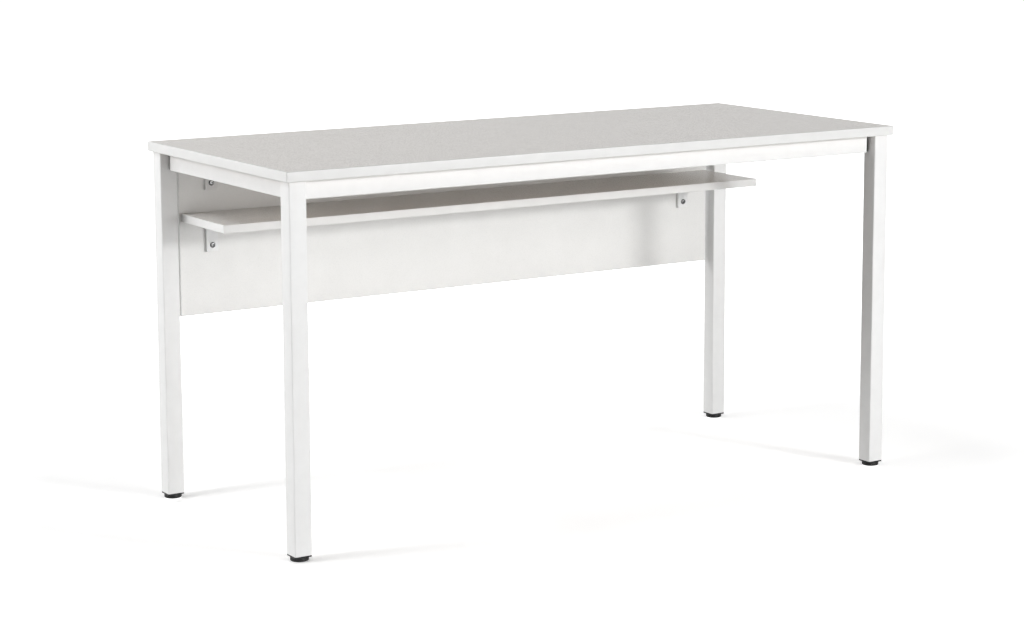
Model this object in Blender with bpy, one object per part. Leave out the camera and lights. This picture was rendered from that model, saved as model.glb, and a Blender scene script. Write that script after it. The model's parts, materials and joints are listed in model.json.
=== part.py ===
"""Computer desk: a white square-tube frame with a boarded top, a privacy panel hung
behind the back rail, and a fixed shelf carried by two brackets on that panel.

Metres, +Z up. X runs along the desk, the person sits at -Y, and the floor is Z = 0
under the middle of the desk. Left is -X and front is -Y.
"""

import math

import bmesh
import bpy
from mathutils import Matrix, Vector

# ---------------------------------------------------------------- driving dimensions
GAP = 0.0003  # between two pieces that touch
BAND_GAP = 0.00015  # glue line between a board and its edge band
HOLE_EXTRA = 0.0003  # a screw hole's radius over its screw's
CUT_EXTRA = 0.002  # how far a cutter runs past the face it opens

TOP_LENGTH = 1.400
TOP_DEPTH = 0.600
TOP_HEIGHT = 0.717
TOP_THICKNESS = 0.019
TOP_BAND = 0.002
TOP_BAND_RADIUS = 0.0016
TOP_OVERHANG = 0.0075

LEG_SIDE = 0.035
LEG_WALL = 0.0015
LEG_RADIUS = 0.0025
LEG_BOTTOM = 0.0105

RAIL_HEIGHT = 0.035
RAIL_DEPTH = 0.020
RAIL_WALL = 0.0015
RAIL_RADIUS = 0.002
RAIL_END_GAP = 0.007
RAIL_TOP_GAP = 0.001

CONNECTOR_HEIGHT = 0.031
SPIGOT_LENGTH = 0.038
SPIGOT_CLEARANCE = 0.0004
NECK_RECESS = 0.0045
CONNECTOR_WEB = 0.014
CORNER_BOLT_RADIUS = 0.003
CORNER_BOLT_LENGTH = 0.024

INSERT_FLANGE = 0.0027
INSERT_HEIGHT = 0.025
INSERT_CLEARANCE = 0.0003
FOOT_DISC_RADIUS = 0.0175
FOOT_DISC_HEIGHT = 0.0071
FOOT_DISC_EDGE = 0.0018
STEM_RADIUS = 0.004
STEM_RUNNING_CLEARANCE = 0.00009
STEM_BOTTOM = 0.003
STEM_TOP = 0.042
STEM_CHAMFER = 0.001

PANEL_LENGTH = 1.294
PANEL_THICKNESS = 0.016
PANEL_BOTTOM = 0.365
PANEL_HEIGHT = 0.330

SHELF_LENGTH = 1.284
SHELF_DEPTH = 0.193
SHELF_THICKNESS = 0.016
SHELF_TOP = 0.571

BOARD_BAND = 0.001  # edge band of the shelf and the panel
BOARD_BAND_RADIUS = 0.0007

BRACKET_OFFSET = 0.579  # from the desk's middle to a bracket's middle
BRACKET_WIDTH = 0.025
BRACKET_THICKNESS = 0.007
BRACKET_BEND_RADIUS = 0.0085
BRACKET_SCREW_EDGE = 0.013  # screw's middle above a bracket's lower end
HANGER_BOTTOM = 0.6165
HANGER_ARM = 0.030
HANGER_SCREW_INSET = 0.013
SHELF_BRACKET_BOTTOM = 0.4915
SHELF_BRACKET_ARM = 0.150
SHELF_SCREW_INSET = 0.125

PANEL_SCREW_RADIUS = 0.003
PANEL_SCREW_LENGTH = 0.017
PANEL_SCREW_HEAD = 0.0056
WOOD_SCREW_RADIUS = 0.002
WOOD_SCREW_HEAD = 0.0042
SHELF_SCREW_LENGTH = 0.016
HANGER_SCREW_LENGTH = 0.011
WORKTOP_SCREW_LENGTH = 0.0155
WORKTOP_SCREW_X = 0.420
SCREW_ACCESS_RADIUS = 0.006

ROUND_STEPS = 24
SCREW_STEPS = 12
HOLE_STEPS = 16
CORNER_STEPS = 3

# ---------------------------------------------------------------- worked-out places
TOP_UNDERSIDE = TOP_HEIGHT - TOP_THICKNESS
FRAME_X = TOP_LENGTH / 2 - TOP_OVERHANG  # outer faces of the legs
FRAME_Y = TOP_DEPTH / 2 - TOP_OVERHANG
LEG_INNER_X = FRAME_X - LEG_SIDE
LEG_INNER_Y = FRAME_Y - LEG_SIDE
LEG_X = FRAME_X - LEG_SIDE / 2
LEG_Y = FRAME_Y - LEG_SIDE / 2
RAIL_TOP = TOP_UNDERSIDE - RAIL_TOP_GAP
RAIL_BOTTOM = RAIL_TOP - RAIL_HEIGHT
RAIL_MIDDLE = RAIL_TOP - RAIL_HEIGHT / 2
RAIL_Y = LEG_Y - RAIL_DEPTH / 2  # the rails' outer faces stand at the legs' middle
RAIL_X = LEG_X - RAIL_DEPTH / 2
PANEL_FRONT = LEG_Y + GAP
SHELF_BACK = PANEL_FRONT - GAP
SHELF_BOTTOM = SHELF_TOP - SHELF_THICKNESS

SIDES = (("left", -1), ("right", 1))
ENDS = (("front", -1), ("back", 1))
CORNERS = [(f"{end}_{side}", sx, sy) for end, sy in ENDS for side, sx in SIDES]

# colour, roughness, metallic
FINISHES = {
    "white_paint": ((0.86, 0.86, 0.85, 1.0), 0.42, 0.0),
    "grey_melamine": ((0.62, 0.60, 0.58, 1.0), 0.45, 0.0),
    "white_melamine": ((0.84, 0.84, 0.82, 1.0), 0.45, 0.0),
    "white_band": ((0.82, 0.82, 0.81, 1.0), 0.40, 0.0),
    "black_nylon": ((0.03, 0.03, 0.03, 1.0), 0.50, 0.0),
    "black_plastic": ((0.012, 0.012, 0.012, 1.0), 0.30, 0.0),
    "zinc_steel": ((0.55, 0.55, 0.54, 1.0), 0.30, 1.0),
}


# ---------------------------------------------------------------- shared helpers
def clear_scene():
    for obj in list(bpy.data.objects):
        bpy.data.objects.remove(obj, do_unlink=True)


def finish_material(name, finish):
    """A Principled BSDF of its own for one sub-part."""
    colour, roughness, metallic = FINISHES[finish]
    material = bpy.data.materials.new(name)
    material.use_nodes = True
    shader = material.node_tree.nodes["Principled BSDF"]
    shader.inputs["Base Color"].default_value = colour
    shader.inputs["Roughness"].default_value = roughness
    shader.inputs["Metallic"].default_value = metallic
    material.diffuse_color = colour
    return material


def add_object(name, shape, finish, location=(0, 0, 0), rotation=None):
    """Turns a bmesh into a linked object with its own material, flat faces kept sharp."""
    bmesh.ops.recalc_face_normals(shape, faces=shape.faces)
    mesh = bpy.data.meshes.new(name)
    shape.to_mesh(mesh)
    shape.free()
    mesh.materials.append(finish_material(name, finish))
    mesh.shade_smooth()
    mesh.set_sharp_from_angle(angle=math.radians(30))
    obj = bpy.data.objects.new(name, mesh)
    bpy.context.scene.collection.objects.link(obj)
    obj.location = location
    if rotation is not None:
        obj.rotation_mode = "QUATERNION"
        obj.rotation_quaternion = rotation
    return obj


def box(size_x, size_y, size_z):
    """A box about its own middle."""
    shape = bmesh.new()
    bmesh.ops.create_cube(shape, size=1.0)
    bmesh.ops.scale(shape, vec=(size_x, size_y, size_z), verts=shape.verts)
    return shape


def prism(outline, low, high):
    """A flat outline in XY, drawn up from Z = low to Z = high."""
    shape = bmesh.new()
    face = shape.faces.new([shape.verts.new((x, y, low)) for x, y in outline])
    raised = bmesh.ops.extrude_face_region(shape, geom=[face])["geom"]
    tops = [item for item in raised if isinstance(item, bmesh.types.BMVert)]
    bmesh.ops.translate(shape, vec=(0, 0, high - low), verts=tops)
    return shape


def arc(centre_x, centre_y, radius, start, end, steps):
    """Points on an arc, both ends included; the angles are in degrees."""
    angles = [math.radians(start + (end - start) * i / steps) for i in range(steps + 1)]
    return [(centre_x + radius * math.cos(a), centre_y + radius * math.sin(a)) for a in angles]


def rounded_rectangle(width, depth, radius, steps=CORNER_STEPS):
    """The outline of a rectangle about the origin with round corners."""
    x = width / 2 - radius
    y = depth / 2 - radius
    return (
        arc(x, y, radius, 0, 90, steps)
        + arc(-x, y, radius, 90, 180, steps)
        + arc(-x, -y, radius, 180, 270, steps)
        + arc(x, -y, radius, 270, 360, steps)
    )


def loft(loops, closed_ring):
    """Skins equal-sized loops of points; closed_ring joins the last to the first."""
    shape = bmesh.new()
    rings = [[shape.verts.new(point) for point in loop] for loop in loops]
    pairs = list(zip(rings, rings[1:]))
    if closed_ring:
        pairs.append((rings[-1], rings[0]))
    else:
        shape.faces.new(rings[0])
        shape.faces.new(rings[-1])
    for one, other in pairs:
        for i, vert in enumerate(one):
            j = (i + 1) % len(one)
            shape.faces.new((vert, one[j], other[j], other[i]))
    return shape


def tube(height, depth, length, wall, radius):
    """A hollow rectangular tube about the origin, open at both ends, along Z."""
    outer = rounded_rectangle(height, depth, radius)
    inner = rounded_rectangle(height - 2 * wall, depth - 2 * wall, radius - wall / 2)
    ends = ((outer, -length / 2), (outer, length / 2), (inner, length / 2), (inner, -length / 2))
    return loft([[(x, y, z) for x, y in outline] for outline, z in ends], closed_ring=True)


def turned(profile, steps=ROUND_STEPS):
    """A solid of revolution about Z, from a (radius, z) profile with both ends on the axis.

    A radius given as a function of the angle draws a socket that isn't round.
    """
    shape = bmesh.new()
    rings = []
    for radius, z in profile:
        if radius == 0:
            rings.append([shape.verts.new((0, 0, z))])
            continue
        ring = []
        for i in range(steps):
            angle = 2 * math.pi * i / steps
            reach = radius(angle) if callable(radius) else radius
            ring.append(shape.verts.new((reach * math.cos(angle), reach * math.sin(angle), z)))
        rings.append(ring)
    for one, other in zip(rings, rings[1:]):
        for i in range(steps):
            j = (i + 1) % steps
            corners = [one[i % len(one)], one[j % len(one)], other[j % len(other)], other[i % len(other)]]
            shape.faces.new(list(dict.fromkeys(corners)))
    return shape


def cut_with(target, cutter):
    """Cuts a hidden tool object out of the target."""
    cutter.hide_render = True
    cutter.display_type = "WIRE"
    modifier = target.modifiers.new(cutter.name, "BOOLEAN")
    modifier.operation = "DIFFERENCE"
    modifier.solver = "EXACT"
    modifier.object = cutter


def drill(target, name, radius, start, end, steps=HOLE_STEPS):
    """A round hole through the target between two world points."""
    start = Vector(start)
    end = Vector(end)
    shape = bmesh.new()
    bmesh.ops.create_cone(
        shape,
        cap_ends=True,
        segments=steps,
        radius1=radius,
        radius2=radius,
        depth=(end - start).length,
    )
    turn = (end - start).to_track_quat("Z", "Y")
    cutter = add_object(f"cut_{name}", shape, "zinc_steel", (start + end) / 2, turn)
    cut_with(target, cutter)


def along_x():
    """Turns a section drawn in XY so that it runs along X with its first side upright."""
    return Matrix.Rotation(math.pi / 2, 3, "Y").to_quaternion()


def along_y():
    return Matrix.Rotation(math.pi / 2, 3, "Z").to_quaternion() @ along_x()


def hexagon(across_flats):
    """The radius of a hexagon at each angle."""
    sixth = math.pi / 3

    def reach(angle):
        off_flat = (angle % sixth) - sixth / 2
        return across_flats / 2 / math.cos(off_flat)

    return reach


def screw_profile(radius, length, head_radius, head_height, socket, socket_depth):
    """A domed screw: its tip at Z = -length, the underside of its head at Z = 0."""
    dome = [
        (head_radius * math.cos(a), head_height * (0.25 + 0.75 * math.sin(a)))
        for a in (0, math.radians(40))
    ]
    return [
        (0, -length),
        (radius * 0.6, -length),
        (radius, -length + radius * 0.5),
        (radius, 0),
        (head_radius, 0),
        *dome,
        (hexagon(socket), head_height),
        (hexagon(socket), head_height - socket_depth),
        (0, head_height - socket_depth),
    ]


def panel_screw_profile():
    return screw_profile(PANEL_SCREW_RADIUS, PANEL_SCREW_LENGTH, PANEL_SCREW_HEAD, 0.0033, 0.004, 0.002)


def small_screw_profile(length):
    return screw_profile(WOOD_SCREW_RADIUS, length, WOOD_SCREW_HEAD, 0.0025, 0.0028, 0.0015)


# ---------------------------------------------------------------- boards and edge bands
def band_outline(thickness, height, radius):
    """A band's section: x outward from its glued face, y up, both outer corners round."""
    half = height / 2
    steps = 4
    return (
        [(0, -half)]
        + arc(thickness - radius, -half + radius, radius, -90, 0, steps)
        + arc(thickness - radius, half - radius, radius, 0, 90, steps)
        + [(0, half)]
    )


def band(name, section, finish, length, face_centre, outward, run):
    """An edge band on a board's edge face, given the face's centre and outward way.

    section is (thickness, height, corner radius), and run is the way the band's length goes.
    """
    outward = Vector(outward)
    run = Vector(run)
    shape = prism(band_outline(*section), -length / 2, length / 2)
    turn = Matrix((outward, run.cross(outward), run)).transposed().to_4x4()
    bmesh.ops.transform(shape, matrix=turn, verts=shape.verts)
    return add_object(name, shape, finish, face_centre)


def build_level_board(name, band_name, size, centre, board_finish, edge, edge_radius):
    """A level board of the given full size, with a band on each of its four edges."""
    length, depth, thickness = size
    x, y, z = centre
    board_x = length - 2 * (edge + BAND_GAP)
    board_y = depth - 2 * (edge + BAND_GAP)
    board = add_object(name, box(board_x, board_y, thickness), board_finish, centre)
    section = (edge, thickness, edge_radius)
    for end, sy in ENDS:
        face = (x, y + sy * (board_y / 2 + BAND_GAP), z)
        band(f"{band_name}_{end}", section, "white_band", length, face, (0, sy, 0), (1, 0, 0))
    for side, sx in SIDES:
        face = (x + sx * (board_x / 2 + BAND_GAP), y, z)
        band(f"{band_name}_{side}", section, "white_band", board_y, face, (sx, 0, 0), (0, 1, 0))
    return board


def build_worktop():
    size = (TOP_LENGTH, TOP_DEPTH, TOP_THICKNESS)
    centre = (0, 0, TOP_HEIGHT - TOP_THICKNESS / 2)
    return build_level_board(
        "worktop_board", "worktop_band", size, centre, "grey_melamine", TOP_BAND, TOP_BAND_RADIUS
    )


def build_shelf():
    size = (SHELF_LENGTH, SHELF_DEPTH, SHELF_THICKNESS)
    centre = (0, SHELF_BACK - SHELF_DEPTH / 2, SHELF_TOP - SHELF_THICKNESS / 2)
    return build_level_board(
        "shelf_board", "shelf_band", size, centre, "white_melamine", BOARD_BAND, BOARD_BAND_RADIUS
    )


def build_panel():
    """The privacy panel behind the back rail, with bands on all four edges."""
    board_x = PANEL_LENGTH - 2 * (BOARD_BAND + BAND_GAP)
    board_z = PANEL_HEIGHT - 2 * (BOARD_BAND + BAND_GAP)
    y = PANEL_FRONT + PANEL_THICKNESS / 2
    z = PANEL_BOTTOM + PANEL_HEIGHT / 2
    board = add_object("privacy_panel", box(board_x, PANEL_THICKNESS, board_z), "white_melamine", (0, y, z))
    section = (BOARD_BAND, PANEL_THICKNESS, BOARD_BAND_RADIUS)
    for level, sz in (("bottom", -1), ("top", 1)):
        face = (0, y, z + sz * (board_z / 2 + BAND_GAP))
        band(f"panel_band_{level}", section, "white_band", PANEL_LENGTH, face, (0, 0, sz), (1, 0, 0))
    for side, sx in SIDES:
        face = (sx * (board_x / 2 + BAND_GAP), y, z)
        band(f"panel_band_{side}", section, "white_band", board_z, face, (sx, 0, 0), (0, 0, 1))
    return board


# ---------------------------------------------------------------- frame
def build_leg(corner, sx, sy):
    """A square tube with a hole on its inner edge for the corner bolt."""
    length = TOP_UNDERSIDE - GAP - LEG_BOTTOM
    leg = add_object(
        f"leg_{corner}",
        tube(LEG_SIDE, LEG_SIDE, length, LEG_WALL, LEG_RADIUS),
        "white_paint",
        (sx * LEG_X, sy * LEG_Y, LEG_BOTTOM + length / 2),
    )
    inner_edge = Vector((sx * LEG_INNER_X, sy * LEG_INNER_Y, RAIL_MIDDLE))
    outward = Vector((sx, sy, 0)).normalized()
    drill(
        leg,
        f"bolt_hole_{corner}",
        CORNER_BOLT_RADIUS + HOLE_EXTRA,
        inner_edge - outward * CUT_EXTRA,
        inner_edge + outward * LEG_SIDE / 3,
    )
    return leg


def build_rails():
    """Four hollow rails; those at the front and back take the worktop's screws."""
    rails = {}
    length_x = 2 * (LEG_INNER_X - RAIL_END_GAP)
    length_y = 2 * (LEG_INNER_Y - RAIL_END_GAP)
    for end, sy in ENDS:
        rails[end] = add_object(
            f"rail_{end}",
            tube(RAIL_HEIGHT, RAIL_DEPTH, length_x, RAIL_WALL, RAIL_RADIUS),
            "white_paint",
            (0, sy * RAIL_Y, RAIL_MIDDLE),
            along_x(),
        )
    for side, sx in SIDES:
        rails[side] = add_object(
            f"rail_{side}",
            tube(RAIL_HEIGHT, RAIL_DEPTH, length_y, RAIL_WALL, RAIL_RADIUS),
            "white_paint",
            (sx * RAIL_X, 0, RAIL_MIDDLE),
            along_y(),
        )
    return rails


def connector_outline():
    """The corner connector seen from above, for a leg whose inner edge is at the origin.

    The first coordinate runs in along the long rail and the second along the short rail.
    A recessed neck spans the gap at each rail's end, a spigot fills that rail's mouth, and
    a web inside the corner takes the bolt's head.
    """
    outer = LEG_SIDE / 2
    neck = outer - NECK_RECESS
    spigot_out = outer - RAIL_WALL - SPIGOT_CLEARANCE
    spigot_in = RAIL_DEPTH - outer - RAIL_WALL - SPIGOT_CLEARANCE
    mouth = RAIL_END_GAP - GAP
    step = RAIL_END_GAP + GAP
    tip = RAIL_END_GAP + SPIGOT_LENGTH
    clear_of_rail = RAIL_DEPTH - outer + GAP
    half = [
        (GAP, -neck),
        (step, -neck),
        (step, -spigot_out),
        (tip, -spigot_out),
        (tip, spigot_in),
        (mouth, spigot_in),
        (mouth, clear_of_rail),
        (CONNECTOR_WEB, clear_of_rail),
    ]
    return half + [(second, first) for first, second in reversed(half)] + [(GAP, GAP)]


def build_connector(corner, sx, sy):
    """The moulded connector that joins two rails to a leg, and its bolt."""
    outline = [
        (sx * (LEG_INNER_X - first), sy * (LEG_INNER_Y - second))
        for first, second in connector_outline()
    ]
    low = RAIL_MIDDLE - CONNECTOR_HEIGHT / 2
    connector = add_object(
        f"corner_connector_{corner}", prism(outline, low, low + CONNECTOR_HEIGHT), "black_nylon"
    )
    outward = Vector((sx, sy, 0)).normalized()
    inner_edge = Vector((sx * LEG_INNER_X, sy * LEG_INNER_Y, RAIL_MIDDLE))
    clear_of_rail = RAIL_DEPTH - LEG_SIDE / 2 + GAP
    web_reach = (CONNECTOR_WEB + clear_of_rail) / math.sqrt(2)
    seat = inner_edge - outward * (web_reach + GAP)
    drill(
        connector,
        f"connector_hole_{corner}",
        CORNER_BOLT_RADIUS + HOLE_EXTRA,
        seat - outward * CUT_EXTRA,
        inner_edge + outward * (CORNER_BOLT_RADIUS + CUT_EXTRA),
    )
    profile = screw_profile(CORNER_BOLT_RADIUS, CORNER_BOLT_LENGTH, 0.0055, 0.0033, 0.004, 0.002)
    turn = (-outward).to_track_quat("Z", "Y")
    add_object(f"corner_bolt_{corner}", turned(profile, SCREW_STEPS), "zinc_steel", seat, turn)


# ---------------------------------------------------------------- adjustable feet
def build_insert(corner, sx, sy):
    """The plug in the leg's lower end: a flange under the tube and a body inside it."""
    flange = rounded_rectangle(LEG_SIDE, LEG_SIDE, LEG_RADIUS)
    body_side = LEG_SIDE - 2 * (LEG_WALL + INSERT_CLEARANCE)
    body = rounded_rectangle(body_side, body_side, LEG_RADIUS - LEG_WALL / 2)
    flange_top = LEG_BOTTOM - GAP
    levels = (
        (flange, flange_top - INSERT_FLANGE),
        (flange, flange_top),
        (body, flange_top),
        (body, flange_top + INSERT_HEIGHT),
    )
    shape = loft([[(x, y, z) for x, y in outline] for outline, z in levels], closed_ring=False)
    place = (sx * LEG_X, sy * LEG_Y, 0)
    insert = add_object(f"leg_insert_{corner}", shape, "black_plastic", place)
    drill(
        insert,
        f"stem_bore_{corner}",
        STEM_RADIUS + STEM_RUNNING_CLEARANCE,
        (place[0], place[1], flange_top - INSERT_FLANGE - CUT_EXTRA),
        (place[0], place[1], flange_top + INSERT_HEIGHT + CUT_EXTRA),
        ROUND_STEPS,
    )


def build_foot(corner, sx, sy):
    """A levelling foot, its origin on its screw axis at the floor: stem and floor disc."""
    place = (sx * LEG_X, sy * LEG_Y, 0)
    stem = [
        (0, STEM_BOTTOM),
        (STEM_RADIUS, STEM_BOTTOM),
        (STEM_RADIUS, STEM_TOP - STEM_CHAMFER),
        (STEM_RADIUS - STEM_CHAMFER, STEM_TOP),
        (0, STEM_TOP),
    ]
    add_object(f"foot_stem_{corner}", turned(stem), "zinc_steel", place)
    bore = STEM_RADIUS + STEM_RUNNING_CLEARANCE
    edge = FOOT_DISC_EDGE
    disc = [
        (0, 0),
        *arc(FOOT_DISC_RADIUS - edge, edge, edge, -90, 0, 3),
        (FOOT_DISC_RADIUS, FOOT_DISC_HEIGHT - edge / 3),
        (FOOT_DISC_RADIUS - edge / 3, FOOT_DISC_HEIGHT),
        (bore, FOOT_DISC_HEIGHT),
        (bore, STEM_BOTTOM - GAP),
        (0, STEM_BOTTOM - GAP),
    ]
    add_object(f"foot_disc_{corner}", turned(disc), "black_plastic", place)


# ---------------------------------------------------------------- brackets and screws
def bracket_outline(drop, arm):
    """A bent flat bar's section: x along its level arm from the bend, y up to its top face."""
    outer = BRACKET_BEND_RADIUS
    inner = BRACKET_BEND_RADIUS - BRACKET_THICKNESS
    return (
        arc(outer, -outer, outer, 180, 90, 4)
        + [(arm, 0), (arm, -BRACKET_THICKNESS)]
        + arc(outer, -outer, inner, 90, 180, 3)
        + [(BRACKET_THICKNESS, -drop), (0, -drop)]
    )


def build_bracket(name, x, top, bottom, arm):
    """An angle bracket on the panel's front face, its level arm running forward at the top."""
    outline = bracket_outline(top - bottom, arm)
    shape = prism(outline, -BRACKET_WIDTH / 2, BRACKET_WIDTH / 2)
    turn = Matrix(((0, 0, 1), (-1, 0, 0), (0, 1, 0))).to_4x4()
    bmesh.ops.transform(shape, matrix=turn, verts=shape.verts)
    return add_object(name, shape, "white_paint", (x, PANEL_FRONT - GAP, top))


def add_panel_screw(name, bracket, panel, x, z):
    """A screw from a bracket's upright leg into the panel, its head to the front."""
    head = Vector((x, PANEL_FRONT - 2 * GAP - BRACKET_THICKNESS, z))
    tip = head + Vector((0, PANEL_SCREW_LENGTH + 2 * GAP, 0))
    start = head - Vector((0, CUT_EXTRA, 0))
    hole = PANEL_SCREW_RADIUS + HOLE_EXTRA
    drill(bracket, f"{name}_bracket_hole", hole, start, tip)
    drill(panel, f"{name}_panel_hole", hole, start, tip)
    turn = Vector((0, -1, 0)).to_track_quat("Z", "Y")
    add_object(name, turned(panel_screw_profile(), SCREW_STEPS), "zinc_steel", head, turn)


def add_upward_screw(name, targets, x, y, seat, length):
    """A screw driven up through each target, the underside of its head at Z = seat."""
    start = Vector((x, y, seat - CUT_EXTRA))
    end = Vector((x, y, seat + length + 2 * GAP))
    for number, target in enumerate(targets):
        drill(target, f"{name}_hole_{number}", WOOD_SCREW_RADIUS + HOLE_EXTRA, start, end)
    turn = Vector((0, 0, -1)).to_track_quat("Z", "Y")
    add_object(name, turned(small_screw_profile(length), SCREW_STEPS), "zinc_steel", (x, y, seat), turn)


def build_hangers(panel, back_rail):
    """Two brackets that hang the panel from the back rail."""
    top = RAIL_BOTTOM - GAP
    for side, sx in SIDES:
        x = sx * BRACKET_OFFSET
        hanger = build_bracket(f"panel_hanger_{side}", x, top, HANGER_BOTTOM, HANGER_ARM)
        add_panel_screw(f"hanger_panel_screw_{side}", hanger, panel, x, HANGER_BOTTOM + BRACKET_SCREW_EDGE)
        seat = top - BRACKET_THICKNESS - GAP
        y = PANEL_FRONT - HANGER_SCREW_INSET
        add_upward_screw(
            f"hanger_rail_screw_{side}", (hanger, back_rail), x, y, seat, HANGER_SCREW_LENGTH
        )


def build_shelf_brackets(panel, shelf):
    """Two brackets on the panel that carry the shelf."""
    top = SHELF_BOTTOM - GAP
    for side, sx in SIDES:
        x = sx * BRACKET_OFFSET
        bracket = build_bracket(f"shelf_bracket_{side}", x, top, SHELF_BRACKET_BOTTOM, SHELF_BRACKET_ARM)
        add_panel_screw(
            f"bracket_panel_screw_{side}", bracket, panel, x, SHELF_BRACKET_BOTTOM + BRACKET_SCREW_EDGE
        )
        seat = top - BRACKET_THICKNESS - GAP
        y = PANEL_FRONT - SHELF_SCREW_INSET
        add_upward_screw(f"bracket_shelf_screw_{side}", (bracket, shelf), x, y, seat, SHELF_SCREW_LENGTH)


def build_worktop_screws(board, rails):
    """Screws that stand inside the long rails and pull the worktop down on the frame."""
    seat = RAIL_TOP - RAIL_WALL - GAP
    for end, sy in ENDS:
        for side, sx in SIDES:
            x = sx * WORKTOP_SCREW_X
            y = sy * RAIL_Y
            name = f"worktop_screw_{end}_{side}"
            add_upward_screw(name, (rails[end], board), x, y, seat, WORKTOP_SCREW_LENGTH)
            access_top = Vector((x, y, RAIL_BOTTOM + RAIL_WALL + CUT_EXTRA))
            access_bottom = Vector((x, y, RAIL_BOTTOM - CUT_EXTRA))
            drill(rails[end], f"{name}_access", SCREW_ACCESS_RADIUS, access_bottom, access_top)


def main():
    clear_scene()
    worktop = build_worktop()
    shelf = build_shelf()
    panel = build_panel()
    rails = build_rails()
    for corner, sx, sy in CORNERS:
        build_leg(corner, sx, sy)
        build_connector(corner, sx, sy)
        build_insert(corner, sx, sy)
        build_foot(corner, sx, sy)
    build_hangers(panel, rails["back"])
    build_shelf_brackets(panel, shelf)
    build_worktop_screws(worktop, rails)


main()
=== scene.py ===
"""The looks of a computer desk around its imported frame: finer tubes, edge bands, brackets,
screws and feet in place of the plain solids, and a material for every surface.

Metres, +Z up, in the frame's own axes: X along the desk, the person at -Y, floor at Z = 0.
"""

import json
import math

import bmesh
import bpy
from mathutils import Matrix, Quaternion, Vector


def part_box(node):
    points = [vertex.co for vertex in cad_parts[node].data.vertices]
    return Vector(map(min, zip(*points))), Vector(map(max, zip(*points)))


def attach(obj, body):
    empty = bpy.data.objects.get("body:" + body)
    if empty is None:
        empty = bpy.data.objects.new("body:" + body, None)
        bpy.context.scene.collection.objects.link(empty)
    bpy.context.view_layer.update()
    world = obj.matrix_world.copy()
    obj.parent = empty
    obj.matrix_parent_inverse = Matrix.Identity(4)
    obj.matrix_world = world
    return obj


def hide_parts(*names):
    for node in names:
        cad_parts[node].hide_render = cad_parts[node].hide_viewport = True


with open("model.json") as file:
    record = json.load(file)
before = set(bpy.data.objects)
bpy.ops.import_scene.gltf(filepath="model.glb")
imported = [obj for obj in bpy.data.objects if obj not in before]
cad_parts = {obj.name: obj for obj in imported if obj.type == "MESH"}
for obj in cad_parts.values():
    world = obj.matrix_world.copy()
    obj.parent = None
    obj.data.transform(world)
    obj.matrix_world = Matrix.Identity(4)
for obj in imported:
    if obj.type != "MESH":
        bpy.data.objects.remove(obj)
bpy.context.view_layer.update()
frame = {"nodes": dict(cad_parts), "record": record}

# ---------------------------------------------------------------- sizes the boxes don't give
CORNER_STEPS = 8  # facets in a quarter round
SOFT_EDGE_STEPS = 4
ROUND_STEPS = 72
HOLE_STEPS = 36
SHARP_ANGLE = 35  # degrees; flatter edges are shaded smooth

TUBE_WALL = 0.0015
LEG_RADIUS = 0.0025
RAIL_RADIUS = 0.0020
CUT_EDGE = 0.0002  # broken edge at a tube's sawn end

WORKTOP_BAND_RADIUS = 0.0016
BOARD_BAND_RADIUS = 0.0007
CORNER_SEAM = 0.0005  # more than the CAD's glue line, where two bands meet
SAME_PLACE = 0.0002  # points of a band that are nearer than this along an axis count as level

BAR_THICKNESS = 0.007
BAR_BEND_RADIUS = 0.0085
BAR_EDGE = 0.0006
BAR_SHARP_ANGLE = 60

PANEL_SCREW = {"head_height": 0.0033, "socket": 0.0040, "socket_depth": 0.0020, "shank": 0.003}
WOOD_SCREW = {"head_height": 0.0025, "socket": 0.0028, "socket_depth": 0.0015, "shank": 0.002}
HEAD_EDGE = 0.08  # this and the next two as shares of the head's height
HEAD_RIM = 0.22
SOCKET_CHAMFER = 0.07
DOME_SPREAD = 0.75  # share of the way from the head's radius to the shank's that it curves in
DOME_STEPS = 9
DOME_END = 81  # degrees; from there the head is nearly flat to the socket
SOCKET_MOUTH = 1.12  # as a share of the socket's width
SOCKET_POINT = 1.15  # as a share of the socket's depth
TIP_RADIUS = 0.55  # this and the next as shares of the shank's radius
TIP_LENGTH = 0.6
ACCESS_HOLE_RADIUS = 0.006

THREAD_PITCH = 0.00125
THREAD_DEPTH = 0.00065
THREAD_FLAT = 1 / 6  # share of half a pitch that is flat at the root, and again at the crest
THREAD_ROWS = 8  # rows of points in one turn's height
THREAD_SHARP_ANGLE = 60
STEM_STEPS = 24
STEM_CHAMFER = 0.001

PLUG_FLANGE = 0.0027
PLUG_EDGE = 0.0006
PLUG_CLEARANCE = 0.0003  # between the plug's body and the tube's wall
PLUG_BODY_RADIUS = 0.00175
PLUG_BORE_RADIUS = 0.00409

DISC_BORE_RADIUS = 0.00409
DISC_BORE_FLOOR = 0.0027
DISC_EDGE = 0.0018
DISC_SOFT_EDGE = 0.0005
DISC_HUB_FLATS = 0.013
DISC_RECESS = 0.0016
DISC_RIM = 0.0030

BOARD_EDGE = 0.00005  # broken edges of the CAD nodes that stay
CONNECTOR_EDGE = 0.0005
KEPT_SHARP_ANGLE = 50
KEPT_WELD = 0.00001

CAMERA_PLACE = Vector((-2.7148, -4.2549, 1.2629))
CAMERA_YAW = 32.14  # degrees, as the next two
CAMERA_PITCH = -8.884
CAMERA_ROLL = -0.213
CAMERA_SENSOR = 36.0  # millimetres, as the lens
CAMERA_LENS = 88.49
CAMERA_SHIFT = -0.06

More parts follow.
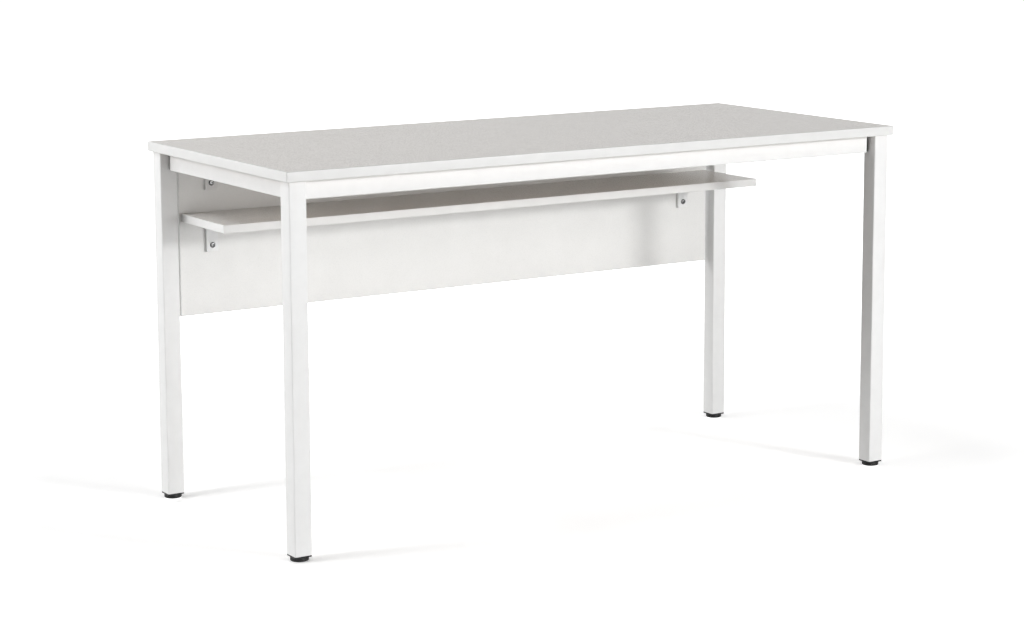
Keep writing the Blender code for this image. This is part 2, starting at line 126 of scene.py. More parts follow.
STUDIO_RADIUS = 60.0
FOOT_TRAVEL = 0.010
FLOOR_GAP = 0.0002  # under the discs
BOUNCE_FLOOR_GAP = 0.0005
FLOOR_SLOT_RADIUS = 0.017
FLOOR_CLOUDS = 0.015  # share of the floor's brightness that comes and goes
FLOOR_GLOW_LEFT = 0.28  # under the desk's left end, and under its right end
FLOOR_GLOW_RIGHT = 0.48
FLOOR_GLOW_AWAY = 1.02
FLOOR_GLOW_START = 1.0  # metres from the desk's middle
FLOOR_GLOW_END = 1.9
FLOOR_LIFT_BELOW = 0.25  # what the lower floor glows more, as less light reaches it
WORLD_GLOW = 0.03
LIGHT_TARGET = Vector((0.0, 0.0, 0.4))
LIGHTS = (  # name, place, width, height, brightness
    ("left_lamp", (-3.6, 0.45, 4.6), 0.7, 0.7, 0.20),
    ("front_right_lamp", (2.1, -4.4, 1.65), 0.45, 0.45, 0.30),
    ("front_panel", (1.6, -8.9, 3.2), 5.0, 2.4, 0.30),
    ("front_low_panel", (2.4, -8.9, 0.9), 6.0, 1.4, 0.25),
    ("left_panel", (-7.9, 1.4, 3.4), 5.0, 2.0, 0.41),
    ("right_panel", (8.0, 0.0, 2.3), 5.0, 4.0, 0.21),
    ("back_left_panel", (-5.5, 7.0, 3.2), 8.0, 5.5, 0.50),
    ("back_right_panel", (4.0, 8.0, 2.6), 7.0, 3.8, 0.11),
)

# ---------------------------------------------------------------- the frame's own tables
SLOT_OF = {row["node"]: row["material_slot"] for row in frame["record"]["subparts"]}
BODY_OF = {
    node: body
    for body, members in frame["record"]["behaviour"]["bodies"].items()
    for node in members
}
SIDES = {"left": -1, "right": 1}
ENDS = {"front": -1, "back": 1}
LEVELS = {"bottom": -1, "top": 1}
CORNERS = {f"{end}_{side}": (sx, sy) for end, sy in ENDS.items() for side, sx in SIDES.items()}
X_AXIS, Y_AXIS, Z_AXIS = 0, 1, 2


# ---------------------------------------------------------------- materials
MIX_FIRST_COLOUR, MIX_SECOND_COLOUR, MIX_RESULT_COLOUR = 6, 7, 2  # the Mix node's colour sockets
WHITE = (1.0, 1.0, 1.0)
FACES_DOWN = (-0.95, -0.90)  # Z of the normals from which a face gets more of the warm underside tint, which is painted bounce light


class Finish:
    """A Principled material whose variation comes from noise in the frame's own metres."""

    def __init__(self, name, roughness, metallic=0.0, specular=0.5):
        self.material = bpy.data.materials.new(name)
        self.material.use_nodes = True
        self.tree = self.material.node_tree
        self.shader = self.tree.nodes["Principled BSDF"]
        self.shader.inputs["Roughness"].default_value = roughness
        self.shader.inputs["Metallic"].default_value = metallic
        self.shader.inputs["Specular IOR Level"].default_value = specular
        self.place = self.add("ShaderNodeTexCoord").outputs["Object"]

    def add(self, kind, **settings):
        node = self.tree.nodes.new(kind)
        for key, value in settings.items():
            setattr(node, key, value)
        return node

    def join(self, source, target):
        self.tree.links.new(source, target)

    def stretched(self, scale):
        """The place, stretched by a factor along each axis."""
        mapping = self.add("ShaderNodeMapping")
        mapping.inputs["Scale"].default_value = scale
        self.join(self.place, mapping.inputs["Vector"])
        return mapping.outputs["Vector"]

    def noise(self, cell, detail=2.0, place=None):
        """Soft noise from 0 to 1 whose blotches are about one cell across, in metres."""
        texture = self.add("ShaderNodeTexNoise")
        texture.inputs["Scale"].default_value = 1 / cell
        texture.inputs["Detail"].default_value = detail
        self.join(place or self.place, texture.inputs["Vector"])
        return texture.outputs["Fac"]

    def cells(self, cell):
        """Distance to the nearest of a scatter of points, for pebbled moulded surfaces."""
        texture = self.add("ShaderNodeTexVoronoi", feature="SMOOTH_F1")
        texture.inputs["Scale"].default_value = 1 / cell
        self.join(self.place, texture.inputs["Vector"])
        return texture.outputs["Distance"]

    def ranged(self, value, low, high, start=0.3, stop=0.7):
        """The value's stretch from start to stop, spread from low (number or socket) to high."""
        spread = self.add("ShaderNodeMapRange")
        for socket, number in zip(("From Min", "From Max", "To Max"), (start, stop, high)):
            spread.inputs[socket].default_value = number
        if isinstance(low, bpy.types.NodeSocket):
            self.join(low, spread.inputs["To Min"])
        else:
            spread.inputs["To Min"].default_value = low
        self.join(value, spread.inputs["Value"])
        return spread.outputs["Result"]

    def colours(self, value, low, high, start=0.3, stop=0.7):
        """Blends from one colour to another as the value grows."""
        ramp = self.add("ShaderNodeValToRGB")
        ends = zip(ramp.color_ramp.elements, (start, stop), (low, high))
        for element, position, colour in ends:
            element.position = position
            element.color = (*colour, 1.0)
        self.join(value, ramp.inputs["Fac"])
        return ramp.outputs["Color"]

    def multiplied(self, colour, other):
        mix = self.add("ShaderNodeMix", data_type="RGBA", blend_type="MULTIPLY")
        mix.inputs["Factor"].default_value = 1.0
        self.join(colour, mix.inputs[MIX_FIRST_COLOUR])
        self.join(other, mix.inputs[MIX_SECOND_COLOUR])
        return mix.outputs[MIX_RESULT_COLOUR]

    def tint_underside_for_bounce(self, colour, warm_bounce_tint):
        """colour, but another on the faces that look straight down: a warm tint whose bounce
        paints warm light into the shade below them.
        """
        split = self.add("ShaderNodeSeparateXYZ")
        normal = self.add("ShaderNodeNewGeometry").outputs["True Normal"]
        self.join(normal, split.inputs["Vector"])
        mix = self.add("ShaderNodeMix", data_type="RGBA")
        self.join(self.ranged(split.outputs["Z"], 1.0, 0.0, *FACES_DOWN), mix.inputs["Factor"])
        self.join(colour, mix.inputs[MIX_FIRST_COLOUR])
        mix.inputs[MIX_SECOND_COLOUR].default_value = (*warm_bounce_tint, 1.0)
        return mix.outputs[MIX_RESULT_COLOUR]

    def paint(self, colour):
        self.join(colour, self.shader.inputs["Base Color"])

    def roughen(self, value):
        self.join(value, self.shader.inputs["Roughness"])

    def relief(self, *layers):
        """Stacks bumps, each given as (height, depth in metres, strength)."""
        normal = None
        for height, depth, strength in layers:
            bump = self.add("ShaderNodeBump")
            bump.inputs["Distance"].default_value = depth
            bump.inputs["Strength"].default_value = strength
            self.join(height, bump.inputs["Height"])
            if normal is not None:
                self.join(normal, bump.inputs["Normal"])
            normal = bump.outputs["Normal"]
        self.join(normal, self.shader.inputs["Normal"])

    def glow_white(self, strength):
        self.shader.inputs["Emission Color"].default_value = (*WHITE, 1.0)
        self.shader.inputs["Emission Strength"].default_value = strength


def powder_coat():
    """White powder coat: satin, with orange peel about a millimetre across."""
    finish = Finish("white_powder_coat", 0.38)
    tone = finish.noise(0.02, 4)
    finish.paint(finish.colours(tone, (0.745, 0.745, 0.74), (0.765, 0.765, 0.76)))
    finish.roughen(finish.ranged(finish.noise(0.006, 3), 0.34, 0.42))
    peel = finish.noise(0.0011, 1)
    speck = finish.noise(0.0003, 1)
    finish.relief((peel, 0.00012, 0.35), (speck, 0.00003, 0.3))
    return finish.material


def melamine(name, dark, light, roughness, warm_bounce_tint=None):
    """Pressed melamine face: faint cloudy tone, a fine pearl grain and a satin sheen."""
    finish = Finish(name, roughness)
    cloud = finish.colours(finish.noise(0.05, 5), dark, light)
    pearl = finish.colours(finish.noise(0.0007, 2), (0.955,) * 3, WHITE)
    face = finish.multiplied(cloud, pearl)
    # painted light: the faces looking down take a warm tint, so the light they bounce warms the
    # shade below them like warm bounce light
    if warm_bounce_tint:
        face = finish.tint_underside_for_bounce(face, warm_bounce_tint)
    finish.paint(face)
    finish.roughen(finish.ranged(finish.noise(0.0012, 2), roughness - 0.05, roughness + 0.06))
    finish.relief((finish.cells(0.0009), 0.00005, 0.3), (finish.noise(0.0003, 1), 0.00002, 0.3))
    return finish.material


def edge_plastic(name, dark, light):
    """Edge band: smooth plastic strip with a hint of the scraper's lines along it."""
    finish = Finish(name, 0.34)
    finish.paint(finish.colours(finish.noise(0.03, 3), dark, light))
    lines = finish.noise(0.0004, 2, finish.stretched((0.02, 0.02, 1.0)))
    finish.roughen(finish.ranged(lines, 0.30, 0.40))
    finish.relief((lines, 0.00002, 0.25), (finish.noise(0.0012, 1), 0.00003, 0.2))
    return finish.material


def black_plastic(name, roughness, pebble):
    """Black moulded plastic with a pebbled grain."""
    finish = Finish(name, roughness, specular=0.45)
    tone = finish.noise(0.004, 3)
    finish.paint(finish.colours(tone, (0.006, 0.006, 0.0065), (0.010, 0.010, 0.0105)))
    finish.roughen(finish.ranged(finish.noise(0.0015, 3), roughness - 0.06, roughness + 0.08))
    finish.relief((finish.cells(pebble), 0.00006, 0.4), (finish.noise(0.0002, 1), 0.00001, 0.3))
    return finish.material


def zinc_plate():
    """Zinc plating, its base colour darkened so that the heads show dark as if they reflected a
    dark room (painted shade): slightly warm and cool patches and a finely etched surface.
    """
    finish = Finish("zinc_plated_steel", 0.20, metallic=1.0)
    tone = finish.noise(0.003, 3)
    # painted shade: the dark base colour stands in for the dark room that the heads would reflect
    finish.paint(finish.colours(tone, (0.17, 0.17, 0.163), (0.23, 0.23, 0.235)))
    finish.roughen(finish.ranged(finish.noise(0.0008, 3), 0.15, 0.28))
    finish.relief((finish.noise(0.0004, 2), 0.000005, 0.3))
    return finish.material


def make_materials():
    """A material for each of the record's slots."""
    return {
        "frame_paint": powder_coat(),
        "worktop_surface": melamine(
            "warm_grey_melamine",
            dark=(0.61, 0.575, 0.535),
            light=(0.64, 0.605, 0.565),
            roughness=0.28,
            # warm tint on the worktop's underside: painted bounce light that warms the shade over
            # the shelf
            warm_bounce_tint=(0.60, 0.50, 0.41),
        ),
        "white_board": melamine(
            "white_melamine",
            dark=(0.735, 0.73, 0.715),
            light=(0.76, 0.755, 0.74),
            roughness=0.30,
        ),
        "edge_band": edge_plastic(
            "worktop_edge_plastic", dark=(0.675, 0.675, 0.665), light=(0.70, 0.70, 0.69)
        ),
        "connector_plastic": black_plastic("black_nylon", 0.50, 0.0006),
        "foot_plastic": black_plastic("black_foot_plastic", 0.30, 0.0010),
        "screw_steel": zinc_plate(),
    }


# ---------------------------------------------------------------- shared shapes
def add_object(name, data):
    thing = bpy.data.objects.new(name, data)
    bpy.context.scene.collection.objects.link(thing)
    return thing


def mesh_from(name, shape):
    mesh = bpy.data.meshes.new(name)
    shape.to_mesh(mesh)
    shape.free()
    return mesh


def shade(mesh, sharp_above=SHARP_ANGLE):
    """Smooth shading, but for the edges that turn by more than an angle in degrees."""
    mesh.shade_smooth()
    mesh.set_sharp_from_angle(angle=math.radians(sharp_above))


def add_piece(node, shape, materials, sharp_above=SHARP_ANGLE):
    """Turns a bmesh into the piece that stands for a CAD node, and rides as the node does."""
    bmesh.ops.recalc_face_normals(shape, faces=shape.faces)
    name = f"{node}_detail"
    mesh = mesh_from(name, shape)
    mesh.materials.append(materials[SLOT_OF[node]])
    shade(mesh, sharp_above)
    piece = add_object(name, mesh)
    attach(piece, BODY_OF[node])
    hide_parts(node)
    return piece


def stand(shape, seat, outward):
    """Turns a shape so that its own Z looks outward, and sets its origin on a seat."""
    turn = outward.to_track_quat("Z", "Y").to_matrix().to_4x4()
    bmesh.ops.transform(shape, matrix=Matrix.Translation(seat) @ turn, verts=shape.verts)


def arc(centre_u, centre_v, radius, start, end, steps=CORNER_STEPS):
    """Points on an arc, both ends included; the angles are in degrees."""
    angles = [math.radians(start + (end - start) * i / steps) for i in range(steps + 1)]
    return [(centre_u + radius * math.cos(a), centre_v + radius * math.sin(a)) for a in angles]


def rounded_rectangle(width, depth, radius):
    """The outline of a rectangle about the origin with round corners."""
    u = width / 2 - radius
    v = depth / 2 - radius
    return (
        arc(u, v, radius, 0, 90)
        + arc(-u, v, radius, 90, 180)
        + arc(-u, -v, radius, 180, 270)
        + arc(u, -v, radius, 270, 360)
    )


def skin(loops, capped):
    """A skin over equal-sized loops of points.

    Its ends are capped, or else its last loop is joined to its first.
    """
    shape = bmesh.new()
    rings = [[shape.verts.new(point) for point in loop] for loop in loops]
    following = rings[1:] if capped else rings[1:] + rings[:1]
    for one, other in zip(rings, following):
        for i, vert in enumerate(one):
            j = (i + 1) % len(one)
            shape.faces.new((vert, one[j], other[j], other[i]))
    if capped:
        shape.faces.new(rings[0])
        shape.faces.new(rings[-1])
    return shape


def turned(profile):
    """A solid of revolution about Z, from a (radius, z) profile with both ends on the axis.

    A radius given as a function of the angle draws a shape that isn't round.
    """
    shape = bmesh.new()
    rings = []
    for radius, z in profile:
        if radius == 0:
            rings.append([shape.verts.new((0, 0, z))])
            continue
        ring = []
        for i in range(ROUND_STEPS):
            angle = 2 * math.pi * i / ROUND_STEPS
            reach = radius(angle) if callable(radius) else radius
            ring.append(shape.verts.new((reach * math.cos(angle), reach * math.sin(angle), z)))
        rings.append(ring)
    for one, other in zip(rings, rings[1:]):
        for i in range(ROUND_STEPS):
            j = (i + 1) % ROUND_STEPS
            corners = (
                one[i % len(one)],
                one[j % len(one)],
                other[j % len(other)],
                other[i % len(other)],
            )
            shape.faces.new(list(dict.fromkeys(corners)))
    return shape


def hexagon(across_flats):
    """The radius of a hexagon at each angle."""
    sixth = math.pi / 3

    def reach(angle):
        off_flat = (angle % sixth) - sixth / 2
        return across_flats / 2 / math.cos(off_flat)

    return reach


def drill(piece, radius, start, end):
    """Cuts a round hole through the piece between two points, and leaves no modifier behind."""
    start = Vector(start)
    end = Vector(end)
    shape = bmesh.new()
    bmesh.ops.create_cone(
        shape,
        cap_ends=True,
        segments=HOLE_STEPS,
        radius1=radius,
        radius2=radius,
        depth=(end - start).length,
    )
    stand(shape, (start + end) / 2, end - start)
    tool = add_object("drill", mesh_from("drill", shape))
    cut = piece.modifiers.new("drill", "BOOLEAN")
    cut.operation = "DIFFERENCE"
    cut.solver = "EXACT"
    cut.object = tool
    graph = bpy.context.evaluated_depsgraph_get()
    drilled = bpy.data.meshes.new_from_object(piece.evaluated_get(graph))
    piece.modifiers.clear()
    undrilled = piece.data
    piece.data = drilled
    bpy.data.meshes.remove(undrilled)
    bpy.data.objects.remove(tool)
    shade(drilled)


# ---------------------------------------------------------------- boards and edge bands
def edge_band(node, across, side, radius, covers_corners, materials):
    """A band on a board's edge, its outer long edges round.

    across is the axis that the band's outer face looks along, and side is -1 or 1. A band that
    covers the board's corners has round ends, and the others stop a seam's width short of it.
    """
    low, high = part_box(node)
    spans = high - low
    run = list(spans).index(max(spans))
    if not covers_corners:
        low[run] += CORNER_SEAM
        high[run] -= CORNER_SEAM
    shape = bmesh.new()
    bmesh.ops.create_cube(shape, size=1.0)
    bmesh.ops.scale(shape, vec=high - low, verts=shape.verts)
    bmesh.ops.translate(shape, vec=(low + high) / 2, verts=shape.verts)
    outer = high[across] if side > 0 else low[across]
    chosen = []
    for edge in shape.edges:
        on_outer_face = all(abs(v.co[across] - outer) < SAME_PLACE for v in edge.verts)
        along_run = abs(edge.verts[0].co[run] - edge.verts[1].co[run]) > SAME_PLACE
        if on_outer_face and (along_run or covers_corners):
            chosen.append(edge)
    bmesh.ops.bevel(
        shape, geom=chosen, offset=radius, segments=CORNER_STEPS, profile=0.5, affect="EDGES"
    )
    return add_piece(node, shape, materials)


def make_bands(materials):
    """The worktop's bands, and the boards' bands of a whiter plastic in the same slot."""
    white_plastic = edge_plastic(
        "board_edge_plastic", dark=(0.735, 0.735, 0.725), light=(0.76, 0.76, 0.75)
    )
    whiter = {"edge_band": white_plastic}
    for board, across, faces, radius, plastics in (
        ("worktop", Y_AXIS, ENDS, WORKTOP_BAND_RADIUS, materials),
        ("shelf", Y_AXIS, ENDS, BOARD_BAND_RADIUS, whiter),
        ("panel", Z_AXIS, LEVELS, BOARD_BAND_RADIUS, whiter),
    ):
        for face, side in faces.items():
            edge_band(f"{board}_band_{face}", across, side, radius, True, plastics)
        for face, side in SIDES.items():
            edge_band(f"{board}_band_{face}", X_AXIS, side, radius, False, plastics)


# ---------------------------------------------------------------- frame tubes
def tube(node, run, radius, materials):
    """A rectangular tube that fills the node's box, open at both ends along the run axis."""
    low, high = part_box(node)
    middle = (low + high) / 2
    u, v = (run + 1) % 3, (run + 2) % 3
    width = high[u] - low[u]
    depth = high[v] - low[v]
    half = (high[run] - low[run]) / 2
    outer = rounded_rectangle(width, depth, radius)
    eased = rounded_rectangle(width - 2 * CUT_EDGE, depth - 2 * CUT_EDGE, radius - CUT_EDGE)
    inner = rounded_rectangle(width - 2 * TUBE_WALL, depth - 2 * TUBE_WALL, radius - TUBE_WALL / 2)
    sections = (
        (eased, -half),
        (outer, CUT_EDGE - half),
        (outer, half - CUT_EDGE),
        (eased, half),
        (inner, half),
        (inner, -half),
    )
    loops = []
    for outline, along in sections:
        loop = []
        for a, b in outline:
            point = middle.copy()
            point[u] += a
            point[v] += b
            point[run] += along
            loop.append(point)
        loops.append(loop)
    return add_piece(node, skin(loops, capped=False), materials)


def make_tubes(materials):
    """The legs and the rails, with a hole under each of the worktop's screws."""
    for corner in CORNERS:
        tube(f"leg_{corner}", Z_AXIS, LEG_RADIUS, materials)
    for side in SIDES:
        tube(f"rail_{side}", Y_AXIS, RAIL_RADIUS, materials)
    for end in ENDS:
        rail = tube(f"rail_{end}", X_AXIS, RAIL_RADIUS, materials)
        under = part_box(f"rail_{end}")[0].z
        for side in SIDES:
            screw_low, screw_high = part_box(f"worktop_screw_{end}_{side}")
            x, y = ((screw_low + screw_high) / 2).xy
            start = (x, y, under - TUBE_WALL)
            drill(rail, ACCESS_HOLE_RADIUS, start, (x, y, under + 2 * TUBE_WALL))


# ---------------------------------------------------------------- brackets
def bent_bar(node, materials):
    """A flat bar bent to an angle: its upright leg at the back and its level arm at the top."""
    low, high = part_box(node)
    back, top = high.y, high.z
    outer = BAR_BEND_RADIUS
    inner = BAR_BEND_RADIUS - BAR_THICKNESS
    centre = (back - outer, top - outer)
    outline = (
        arc(*centre, outer, 0, 90)
        + [(low.y, top), (low.y, top - BAR_THICKNESS)]
        + arc(*centre, inner, 90, 0)
        + [(back - BAR_THICKNESS, low.z), (back, low.z)]
    )
    shape = skin([[(x, y, z) for y, z in outline] for x in (low.x, high.x)], capped=True)
    bmesh.ops.recalc_face_normals(shape, faces=shape.faces)
    sharp = [e for e in shape.edges if e.calc_face_angle(0) > math.radians(BAR_SHARP_ANGLE)]
    bmesh.ops.bevel(
        shape, geom=sharp, offset=BAR_EDGE, segments=SOFT_EDGE_STEPS, profile=0.5, affect="EDGES"
    )
    return add_piece(node, shape, materials)


def make_brackets(materials):
    for side in SIDES:
        bent_bar(f"panel_hanger_{side}", materials)
        bent_bar(f"shelf_bracket_{side}", materials)


# ---------------------------------------------------------------- screws
def screw(node, outward, kind, materials):
    """A button-head screw with a hexagon socket; outward points from its tip to its head."""
    outward = Vector(outward).normalized()
    points = [vert.co for vert in frame["nodes"][node].data.vertices]
    middle = sum(points, Vector()) / len(points)
    reach = [(point - middle).dot(outward) for point in points]
    radius = max((point - middle - outward * r).length for point, r in zip(points, reach))
    length = max(reach) - min(reach)
    height = kind["head_height"]
    shank = kind["shank"]
    edge = height * HEAD_EDGE
    rim = height * HEAD_RIM
    socket = hexagon(kind["socket"])
    mouth = hexagon(kind["socket"] * SOCKET_MOUTH)
    dome = []
    for i in range(DOME_STEPS + 1):
        rise = math.radians(DOME_END * i / DOME_STEPS)
        inward = (radius - shank) * DOME_SPREAD * (1 - math.cos(rise))
        dome.append((radius - inward, rim + (height - rim) * math.sin(rise)))
    profile = [
        (0, height - length),
        (shank * TIP_RADIUS, height - length),
        (shank, height - length + shank * TIP_LENGTH),
        (shank, 0),
        (radius - edge, 0),
        (radius, edge),
        *dome,
        (mouth, height),
        (socket, height - height * SOCKET_CHAMFER),
        (socket, height - kind["socket_depth"]),
        (0, height - kind["socket_depth"] * SOCKET_POINT),
    ]
    shape = turned(profile)
    stand(shape, middle + outward * (max(reach) - height), outward)
    return add_piece(node, shape, materials)


def make_screws(materials):
    forward = (0, -1, 0)
    down = (0, 0, -1)
    for side in SIDES:
        screw(f"hanger_panel_screw_{side}", forward, PANEL_SCREW, materials)
        screw(f"bracket_panel_screw_{side}", forward, PANEL_SCREW, materials)
        screw(f"hanger_rail_screw_{side}", down, WOOD_SCREW, materials)
        screw(f"bracket_shelf_screw_{side}", down, WOOD_SCREW, materials)
    for corner, (sx, sy) in CORNERS.items():
        screw(f"worktop_screw_{corner}", down, WOOD_SCREW, materials)
        screw(f"corner_bolt_{corner}", (-sx, -sy, 0), PANEL_SCREW, materials)


# ---------------------------------------------------------------- feet
def plug(node, materials):
    """The leg's end plug: a thin square flange, a body inside the tube and the stem's bore."""
    low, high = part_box(node)
    middle = (low + high) / 2
    side = high.x - low.x
    body_side = side - 2 * (TUBE_WALL + PLUG_CLEARANCE)
    flange = rounded_rectangle(side, side, LEG_RADIUS)
    eased = rounded_rectangle(side - 2 * PLUG_EDGE, side - 2 * PLUG_EDGE, LEG_RADIUS - PLUG_EDGE)
    body = rounded_rectangle(body_side, body_side, PLUG_BODY_RADIUS)
    step = 360 / len(body)  # degrees between the bore's points, one for each of the body's
    bore = arc(0, 0, PLUG_BORE_RADIUS, step / 2, 360 - step / 2, len(body) - 1)
    sections = (
        (bore, low.z),
        (eased, low.z),
        (flange, low.z + PLUG_EDGE),
        (flange, low.z + PLUG_FLANGE),
        (body, low.z + PLUG_FLANGE),
        (body, high.z),
        (bore, high.z),
    )
    loops = [[(middle.x + a, middle.y + b, z) for a, b in outline] for outline, z in sections]
    return add_piece(node, skin(loops, capped=False), materials)


def stem(node, materials):
    """The foot's screwed rod, its thread standing round it as a helix."""
    low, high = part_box(node)
    middle = (low + high) / 2
    radius = (high.x - low.x) / 2
    length = high.z - low.z
    rows = math.ceil(length / THREAD_PITCH * THREAD_ROWS)
    loops = []
    for row in range(rows + 1):
        z = length * row / rows
        chamfer = min(1.0, min(z, length - z) / STEM_CHAMFER)
        loop = []
        for i in range(STEM_STEPS):
            turn = i / STEM_STEPS
            wave = abs(2 * ((z / THREAD_PITCH - turn) % 1.0) - 1)
            crest = min(1.0, max(0.0, (wave - THREAD_FLAT) / (1 - 2 * THREAD_FLAT)))
            reach = radius - THREAD_DEPTH + THREAD_DEPTH * crest * chamfer
            x = middle.x + reach * math.cos(2 * math.pi * turn)
            y = middle.y + reach * math.sin(2 * math.pi * turn)
            loop.append((x, y, low.z + z))
        loops.append(loop)
    return add_piece(node, skin(loops, capped=True), materials, THREAD_SHARP_ANGLE)


def disc(node, materials):
    """The foot's round base: a fat lower edge, a rim, and a hexagon hub round the stem."""
    low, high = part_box(node)
    radius = (high.x - low.x) / 2
    height = high.z - low.z
    hub = hexagon(DISC_HUB_FLATS)
    soft = DISC_SOFT_EDGE
    profile = [
        (0, 0),
        (radius - DISC_EDGE - soft, 0),
        *arc(radius - DISC_EDGE, DISC_EDGE, DISC_EDGE, -90, 0),
        *arc(radius - soft, height - soft, soft, 0, 90, SOFT_EDGE_STEPS),
        *arc(radius - DISC_RIM + soft, height - soft, soft, 90, 180, SOFT_EDGE_STEPS),
        (radius - DISC_RIM, height - DISC_RECESS),
        (hub, height - DISC_RECESS),
        (hub, height - soft / 2),
        (hexagon(DISC_HUB_FLATS - soft), height),
        (DISC_BORE_RADIUS, height),
        (DISC_BORE_RADIUS, DISC_BORE_FLOOR),
        (0, DISC_BORE_FLOOR),
    ]
    shape = turned(profile)
    middle = (low + high) / 2
    bmesh.ops.translate(shape, vec=(middle.x, middle.y, low.z), verts=shape.verts)
    return add_piece(node, shape, materials)


def make_feet(materials):
    for corner in CORNERS:
        plug(f"leg_insert_{corner}", materials)
        stem(f"foot_stem_{corner}", materials)
        disc(f"foot_disc_{corner}", materials)


# ---------------------------------------------------------------- CAD nodes that stay
def keep_node(node, edge, materials):
    """Paints a CAD node and breaks its sharp edges."""
    kept = frame["nodes"][node]
    kept.data.materials.clear()
    kept.data.materials.append(materials[SLOT_OF[node]])
    weld = kept.modifiers.new("weld", "WELD")
    weld.merge_threshold = KEPT_WELD
    bevel = kept.modifiers.new("broken_edge", "BEVEL")
    bevel.width = edge
    bevel.segments = 2
    bevel.limit_method = "ANGLE"
    bevel.angle_limit = math.radians(KEPT_SHARP_ANGLE)


def keep_nodes(materials):
    for board in ("worktop_board", "shelf_board", "privacy_panel"):
        keep_node(board, BOARD_EDGE, materials)
    for corner in CORNERS:
        keep_node(f"corner_connector_{corner}", CONNECTOR_EDGE, materials)


# ---------------------------------------------------------------- camera, floor and light
def make_camera():
    """At the left of the desk's user side, a little above the worktop, with a long lens."""
    yaw = math.radians(CAMERA_YAW)
    pitch = math.radians(CAMERA_PITCH)
    forward = Vector(
        (math.sin(yaw) * math.cos(pitch), math.cos(yaw) * math.cos(pitch), math.sin(pitch))
    )
    roll = Quaternion((0, 0, 1), math.radians(CAMERA_ROLL))
    data = bpy.data.cameras.new("camera")
    data.sensor_width = CAMERA_SENSOR
    data.lens = CAMERA_LENS
    data.shift_y = CAMERA_SHIFT
    camera = add_object("camera", data)
    camera.location = CAMERA_PLACE
    camera.rotation_mode = "QUATERNION"
    camera.rotation_quaternion = forward.to_track_quat("-Z", "Y") @ roll
    bpy.context.scene.camera = camera


def only_for_camera(thing):
    """Hides a thing from every ray but the camera's own, so that it lights nothing."""
    thing.visible_diffuse = False
    thing.visible_glossy = False
    thing.visible_transmission = False
    thing.visible_shadow = False


def add_stage_piece(name, shape, finish, height):
    """Turns a bmesh into a smooth piece of the studio, at a height above the floor's zero."""
    mesh = mesh_from(name, shape)
    mesh.shade_smooth()
    mesh.materials.append(finish.material)
    piece = add_object(name, mesh)
    piece.location.z = height
    return piece


def white_floor(name, brightness):
    """Pale floor paint with a faint unevenness."""
    finish = Finish(name, 0.6, specular=0.2)
    dark = brightness * (1 - FLOOR_CLOUDS)
    finish.paint(finish.colours(finish.noise(1.5, 2), (dark,) * 3, (brightness,) * 3))
    return finish


def glowing_floor(name, lift):
    """Floor paint with a glow that grows away from the desk; lift is added to it near the desk."""
    finish = white_floor(name, 0.92)
    away = finish.add("ShaderNodeVectorMath", operation="LENGTH")
    finish.join(finish.place, away.inputs[0])
    along = finish.add("ShaderNodeSeparateXYZ")
    finish.join(finish.place, along.inputs[0])
    left, right = (corner.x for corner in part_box("worktop_board"))
    near = finish.ranged(
        along.outputs["X"], FLOOR_GLOW_LEFT + lift, FLOOR_GLOW_RIGHT + lift, left, right
    )
    distance = away.outputs["Value"]
    glow = finish.ranged(distance, near, FLOOR_GLOW_AWAY, FLOOR_GLOW_START, FLOOR_GLOW_END)
    finish.glow_white(0.0)
    finish.join(glow, finish.shader.inputs["Emission Strength"])
    return finish


def slot_outline(foot):
    """A slot from under a foot towards the camera, long enough to show the foot screwed out."""
    middle = sum(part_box(foot), Vector()) / 2
    to_camera = (CAMERA_PLACE - middle).xy
    angle = math.degrees(math.atan2(to_camera.y, to_camera.x))
    end = middle.xy + to_camera * FOOT_TRAVEL / CAMERA_PLACE.z
    near = arc(middle.x, middle.y, FLOOR_SLOT_RADIUS, angle + 90, angle + 270)
    return near + arc(end.x, end.y, FLOOR_SLOT_RADIUS, angle - 90, angle + 90)


def add_floor(finish, depth, slots=()):
    """A round floor that goes with the front left foot as it is screwed out."""
    shape = bmesh.new()
    edge = arc(0, 0, STUDIO_RADIUS, 0, 360 - 360 / ROUND_STEPS, ROUND_STEPS - 1)
    for outline in (edge, *slots):
        loop = [shape.verts.new((x, y, 0)) for x, y in outline]
        for one, other in zip(loop, loop[1:] + loop[:1]):
            shape.edges.new((one, other))
    bmesh.ops.triangle_fill(shape, edges=shape.edges[:], use_beauty=True, normal=(0, 0, 1))
    floor = add_stage_piece(finish.material.name, shape, finish, -depth)
    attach(floor, BODY_OF["foot_disc_front_left"])
    return floor


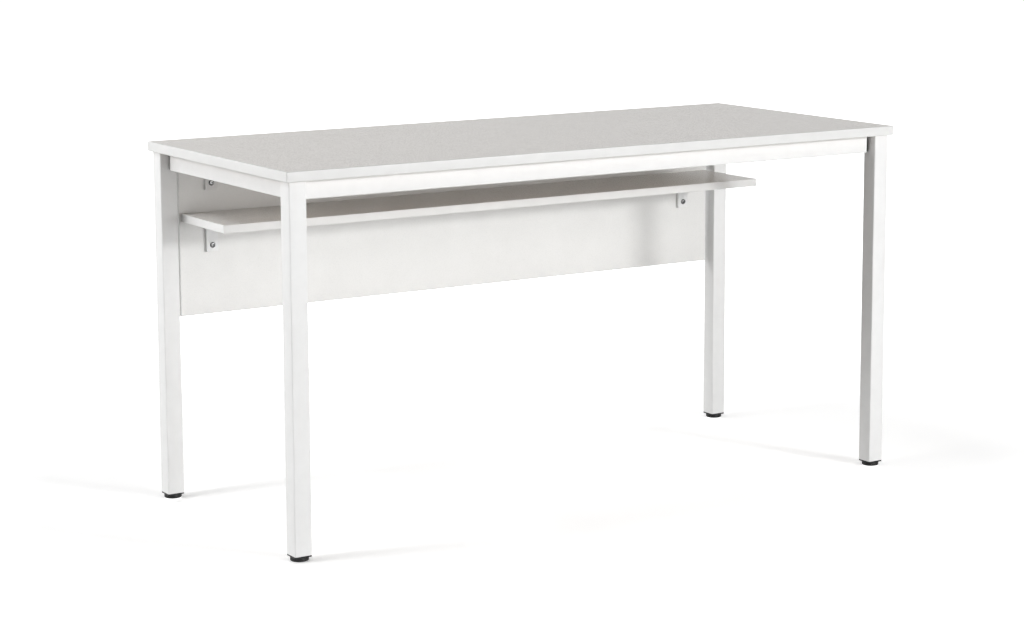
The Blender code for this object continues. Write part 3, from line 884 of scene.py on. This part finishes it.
def make_floor():
    """Two floors for the camera over a plain one for the light, and a white dome behind them.

    The upper floor has a slot at each foot but the front left. Such a foot that is screwed out by
    itself stands on the lower one.
    """
    corners = [corner for corner in CORNERS if corner != "front_left"]
    slots = [slot_outline(f"foot_disc_{corner}") for corner in corners]
    only_for_camera(add_floor(glowing_floor("studio_floor", 0.0), FLOOR_GAP, slots))
    lower = glowing_floor("studio_floor_below", FLOOR_LIFT_BELOW)
    only_for_camera(add_floor(lower, FOOT_TRAVEL + FLOOR_GAP))
    bounce = add_floor(white_floor("bounce_floor", 0.8), FOOT_TRAVEL + BOUNCE_FLOOR_GAP)
    bounce.visible_camera = False

    backdrop = Finish("backdrop", 1.0, specular=0.0)
    backdrop.paint(backdrop.colours(backdrop.noise(9.0, 1), (0.0,) * 3, (0.01,) * 3))
    backdrop.glow_white(1.0)
    shape = bmesh.new()
    bmesh.ops.create_uvsphere(shape, u_segments=48, v_segments=24, radius=STUDIO_RADIUS)
    only_for_camera(add_stage_piece("backdrop", shape, backdrop, 0.0))


def add_area_light(name, place, width, height, brightness):
    """A panel turned to the desk. brightness is what it gives a white matt face turned to it."""
    to_desk = LIGHT_TARGET - Vector(place)
    data = bpy.data.lights.new(name, "AREA")
    data.shape = "RECTANGLE"
    data.size = width
    data.size_y = height
    data.energy = brightness * math.pi**2 * to_desk.length_squared
    light = add_object(name, data)
    light.location = place
    light.rotation_mode = "QUATERNION"
    light.rotation_quaternion = to_desk.to_track_quat("-Z", "Y")
    light.visible_camera = False


def make_light():
    """Wide soft panels all round, and two small lamps that draw the shadows of the legs."""
    world = bpy.data.worlds.new("dim_room")
    world.use_nodes = True
    background = world.node_tree.nodes["Background"]
    background.inputs["Color"].default_value = (*WHITE, 1.0)
    background.inputs["Strength"].default_value = WORLD_GLOW
    bpy.context.scene.world = world
    bpy.context.scene.view_settings.view_transform = "Standard"
    for light in LIGHTS:
        add_area_light(*light)


make_camera()
made = make_materials()
make_bands(made)
make_tubes(made)
make_brackets(made)
make_screws(made)
make_feet(made)
keep_nodes(made)
make_floor()
make_light()
